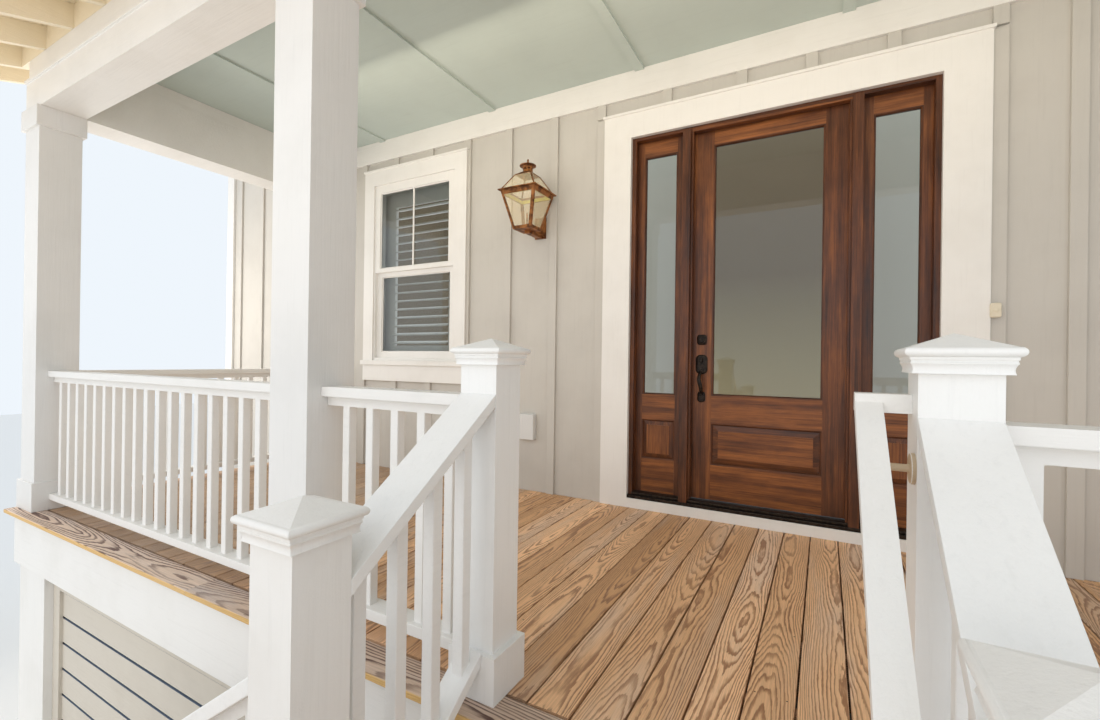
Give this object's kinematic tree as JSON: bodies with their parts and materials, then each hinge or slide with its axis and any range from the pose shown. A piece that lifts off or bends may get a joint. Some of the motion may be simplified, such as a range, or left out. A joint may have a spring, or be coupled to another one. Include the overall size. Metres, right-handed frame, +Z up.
{
  "type": "front porch",
  "caption": "Raised timber front porch with a stained entry door and sidelights, square columns, baluster guards, a shed roof and stairs that turn at a landing.",
  "frame": {"origin": "middle of the wall's foot under the centre of the door, on the ground, halfway through the wall", "axes": "+X to the right as seen from the street, +Y into the house, +Z up; the porch front faces -Y"},
  "size_m": [11.76, 4.0971, 5.5686],
  "materials": {
    "painted_trim": "satin white paint",
    "painted_siding": "matt warm grey paint",
    "stained_door_wood": "red-brown stain under satin varnish",
    "clear_glass": "clear",
    "dark_bronze": "dark bronze",
    "lantern_copper": "aged copper brown",
    "plastic_cover": "matt",
    "pine_boards": "weathered treated pine, bare",
    "ceiling_paint": "matt pale grey-green paint",
    "roof_covering": "rough dark shingle",
    "pier_render": "white painted boards"
  },
  "bodies": {
    "house": {"foundation_wall": "painted_siding", "wall_left": "painted_siding", "wall_right": "painted_siding", "wall_over_door": "painted_siding", "siding_battens": "painted_siding", "wall_trim": "painted_trim", "door_casing": "painted_trim", "window_casings": "painted_trim", "window_sashes": "painted_trim", "window_glass": "clear_glass", "window_shutters": "painted_trim", "door_frame": "stained_door_wood", "sidelights": "stained_door_wood", "sidelight_glass": "clear_glass", "door_hinges": "dark_bronze", "lantern_frame": "lantern_copper", "lantern_glass": "clear_glass", "wall_fittings": "plastic_cover", "piers": "pier_render", "deck_beams": "pine_boards", "deck_joists": "pine_boards", "rim_boards": "painted_trim", "deck_floor": "pine_boards", "skirt_panels": "painted_siding", "stair_stringers": "painted_trim", "stair_treads": "pine_boards", "stair_risers": "painted_trim", "landing_floor": "pine_boards", "landing_frame": "painted_trim", "columns": "painted_trim", "upper_newels": "painted_trim", "landing_newels": "painted_trim", "foot_newels": "painted_trim", "front_guards": "painted_trim", "side_guards": "painted_trim", "stair_guards": "painted_trim", "handrail": "painted_trim", "roof_beams": "painted_trim", "porch_ceiling": "ceiling_paint", "roof_rafters": "painted_trim", "rafter_blocking": "painted_trim", "roof_deck": "roof_covering"},
    "door": {"door_slab": "stained_door_wood", "door_glass": "clear_glass", "door_handle": "dark_bronze"}
  },
  "joints": [
    {"name": "front_door_hinge", "type": "hinge", "parent": "house", "child": "door", "pos_m": [0.455, 0.0411, 1.602], "axis": [0, 0, -1], "range_deg": [0, 95]}
  ]
}
